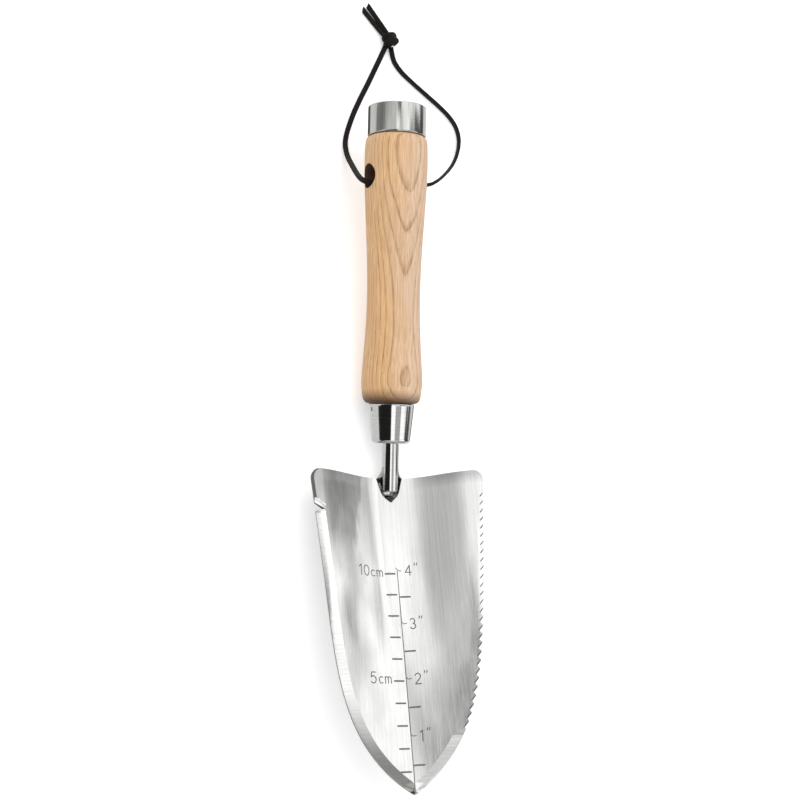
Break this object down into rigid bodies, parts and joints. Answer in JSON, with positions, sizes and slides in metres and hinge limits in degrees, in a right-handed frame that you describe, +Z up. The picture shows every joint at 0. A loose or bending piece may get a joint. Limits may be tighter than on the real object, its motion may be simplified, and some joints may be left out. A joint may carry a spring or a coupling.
{
  "type": "hand trowel",
  "caption": "Pointed stainless garden trowel with a V-keeled blade, serrated and ground edges, ash handle, steel ferrule and end cap, and a leather hanging lanyard.",
  "frame": {"origin": "bottom centre of the trowel's box without its lanyard, on the surface that it lies on", "axes": "+Y from the blade's tip towards the end cap, +Z up out of the blade's hollow, +X towards the serrated edge"},
  "size_m": [0.0867, 0.394, 0.0499],
  "materials": {
    "brushed_steel": "brushed lengthwise, etched grey depth scale",
    "polished_steel": "polished bright",
    "weld_steel": "ground smooth, slightly rough",
    "satin_steel": "satin, turned",
    "ash_wood": "clear satin lacquer, open straight grain",
    "brown_leather": "dark brown, dull, flat-cut thong"
  },
  "bodies": {
    "root": {"blade": "brushed_steel", "neck_rod": "polished_steel", "neck_weld": "weld_steel", "ferrule": "polished_steel", "ferrule_pin": "weld_steel", "handle": "ash_wood", "end_cap": "satin_steel", "lanyard_cord": "brown_leather"}
  },
  "joints": []
}
